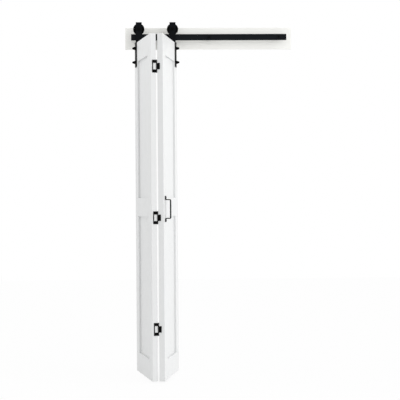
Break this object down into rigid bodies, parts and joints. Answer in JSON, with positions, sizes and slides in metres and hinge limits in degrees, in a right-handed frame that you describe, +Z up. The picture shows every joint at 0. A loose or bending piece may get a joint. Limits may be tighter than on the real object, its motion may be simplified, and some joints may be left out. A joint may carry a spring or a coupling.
{
  "type": "bifold closet door",
  "caption": "White shaker bifold closet door folded on a flat black track with grooved wheels, swivel hangers, nesting hinges and a pull",
  "frame": {"origin": "centre of the header board's back face, which lies flat on the wall", "axes": "+Z up, +X right along the track, +Y into the wall; the front of the closet faces -Y"},
  "size_m": [1.09, 0.4783, 2.2656],
  "materials": {
    "white_paint": "smooth satin white paint on wood",
    "black_coat": "matte black powder coat on steel",
    "black_nylon": "turned black nylon",
    "bright_steel": "ground bearing steel"
  },
  "bodies": {
    "track": {"header_board": "white_paint", "track_rail": "black_coat", "left_rail_spacer": "black_coat", "middle_rail_spacer": "black_coat", "right_rail_spacer": "black_coat", "left_lag_bolt": "black_coat", "middle_lag_bolt": "black_coat", "right_lag_bolt": "black_coat"},
    "left_hanger": {"left_hanger_strap": "black_coat", "left_axle_bolt": "black_coat", "left_axle_nut": "black_coat", "left_pivot_pin": "black_coat", "left_thrust_washer": "bright_steel"},
    "left_wheel": {"left_track_wheel": "black_nylon", "left_wheel_bearing": "bright_steel"},
    "left_panel": {"left_pivot_stile": "white_paint", "left_hinge_stile": "white_paint", "left_top_rail": "white_paint", "left_middle_rail": "white_paint", "left_bottom_rail": "white_paint", "left_upper_panel": "white_paint", "left_lower_panel": "white_paint", "left_face_strap": "black_coat", "left_upper_strap_bolt": "black_coat", "left_lower_strap_bolt": "black_coat", "left_upper_cap_nut": "black_coat", "left_lower_cap_nut": "black_coat", "upper_hinge_frame_leaf": "black_coat", "middle_hinge_frame_leaf": "black_coat", "lower_hinge_frame_leaf": "black_coat", "upper_hinge_pin": "black_coat", "middle_hinge_pin": "black_coat", "lower_hinge_pin": "black_coat"},
    "right_panel": {"right_pivot_stile": "white_paint", "right_hinge_stile": "white_paint", "right_top_rail": "white_paint", "right_middle_rail": "white_paint", "right_bottom_rail": "white_paint", "right_upper_panel": "white_paint", "right_lower_panel": "white_paint", "right_face_strap": "black_coat", "right_upper_strap_bolt": "black_coat", "right_lower_strap_bolt": "black_coat", "right_upper_cap_nut": "black_coat", "right_lower_cap_nut": "black_coat", "upper_hinge_tab_leaf": "black_coat", "middle_hinge_tab_leaf": "black_coat", "lower_hinge_tab_leaf": "black_coat", "pull_handle": "black_coat", "upper_pull_screw": "black_coat", "lower_pull_screw": "black_coat"},
    "right_hanger": {"right_hanger_strap": "black_coat", "right_axle_bolt": "black_coat", "right_axle_nut": "black_coat", "right_pivot_pin": "black_coat", "right_thrust_washer": "bright_steel"},
    "right_wheel": {"right_track_wheel": "black_nylon", "right_wheel_bearing": "bright_steel"}
  },
  "joints": [
    {"name": "left_hanger_roll", "type": "slide", "parent": "track", "child": "left_hanger", "axis": [1, 0, 0], "range_m": [0, 0.69]},
    {"name": "left_wheel_spin", "type": "hinge", "parent": "left_hanger", "child": "left_wheel", "pos_m": [-0.4555, -0.078, 0.0523], "axis": [0, 1, 0], "range_deg": [0, 1240]},
    {"name": "left_panel_swing", "type": "hinge", "parent": "left_hanger", "child": "left_panel", "pos_m": [-0.4555, -0.078, -0.03], "axis": [0, 0, -1], "range_deg": [-77.5, 10]},
    {"name": "right_panel_fold", "type": "hinge", "parent": "left_panel", "child": "right_panel", "pos_m": [-0.34607, -0.47134, -1.1], "axis": [0, 0, -1], "range_deg": [-20, 155]},
    {"name": "right_hanger_swivel", "type": "hinge", "parent": "right_panel", "child": "right_hanger", "pos_m": [-0.23664, -0.078, -0.03], "axis": [0, 0, -1], "range_deg": [-77.5, 10]},
    {"name": "right_wheel_spin", "type": "hinge", "parent": "right_hanger", "child": "right_wheel", "pos_m": [-0.23664, -0.078, 0.0523], "axis": [0, 1, 0], "range_deg": [0, 1240]}
  ],
  "couplings": [
    {"joint": "left_wheel_spin", "follows": "left_hanger_roll", "rad_per_m": 31.25},
    {"joint": "right_wheel_spin", "follows": "left_hanger_roll", "rad_per_m": 31.25},
    {"joint": "right_panel_fold", "follows": "left_panel_swing", "ratio": -2},
    {"joint": "right_hanger_swivel", "follows": "left_panel_swing", "ratio": 1}
  ]
}
